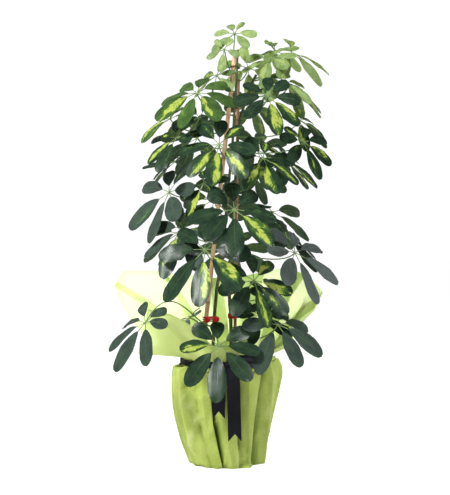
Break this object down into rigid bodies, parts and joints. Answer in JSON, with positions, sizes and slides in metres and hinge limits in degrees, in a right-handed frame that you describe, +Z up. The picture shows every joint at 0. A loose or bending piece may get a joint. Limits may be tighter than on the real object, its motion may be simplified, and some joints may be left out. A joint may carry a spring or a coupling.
{
  "type": "potted umbrella plant",
  "caption": "Variegated umbrella plant on bamboo canes, in a pot wrapped in pleated lime-green paper with a black ribbon.",
  "frame": {"origin": "middle of the flat underside of the wrap, where the pot stands", "axes": "+Z up along the plant, -Y towards the front, where the ribbon's ends hang, +X to the right seen from the front"},
  "size_m": [0.4423, 0.3972, 0.8584],
  "materials": {
    "leaf": "satin",
    "young_leaf": "satin",
    "stem": "matte",
    "bamboo_tan": "satin",
    "bamboo_brown": "satin",
    "soil": "matte",
    "wrap_paper": "matte",
    "ribbon_satin": "satin",
    "tie_red": "satin",
    "tie_dark": "satin",
    "pot_plastic": "satin"
  },
  "bodies": {
    "root": {"wrap": "wrap_paper", "ribbon": "ribbon_satin", "nursery_pot": "pot_plastic", "soil": "soil", "cane_left": "bamboo_tan", "cane_right": "bamboo_brown", "stem_a": "stem", "stem_b": "stem", "tie_red_left": "tie_red", "tie_red_right": "tie_red", "tie_dark_lower": "tie_dark", "tie_dark_upper": "tie_dark", "frond_centre_4": "leaf", "frond_centre_5": "leaf", "frond_centre_6": "leaf", "frond_low_front": "leaf", "frond_right_0": "leaf", "frond_centre_2": "leaf", "frond_left_1": "leaf", "frond_low_right_b": "leaf", "frond_low_left": "leaf", "frond_centre_3": "leaf", "frond_right_2": "leaf", "frond_left_3": "leaf", "frond_left_5": "leaf", "frond_left_6": "leaf", "frond_right_4": "leaf", "frond_top_crown": "young_leaf", "frond_top_mid": "young_leaf", "frond_top_right_a": "young_leaf", "frond_top_right_b": "young_leaf", "frond_top_right_c": "young_leaf", "frond_top_front": "young_leaf", "frond_top_back": "young_leaf", "frond_top_left": "young_leaf", "frond_left_1b": "leaf", "frond_left_2": "leaf", "frond_right_1": "leaf", "frond_right_1b": "leaf", "frond_right_2b": "leaf", "frond_right_3": "leaf", "frond_right_3b": "leaf", "frond_left_4": "leaf", "frond_left_7": "leaf", "frond_right_4b": "leaf", "frond_right_6b": "leaf", "frond_low_left_b": "leaf", "frond_low_right_a": "leaf", "frond_back_1": "leaf", "frond_back_2": "leaf", "frond_back_3": "leaf", "frond_back_4": "leaf", "frond_back_5": "leaf", "frond_back_6": "leaf"}
  },
  "joints": []
}
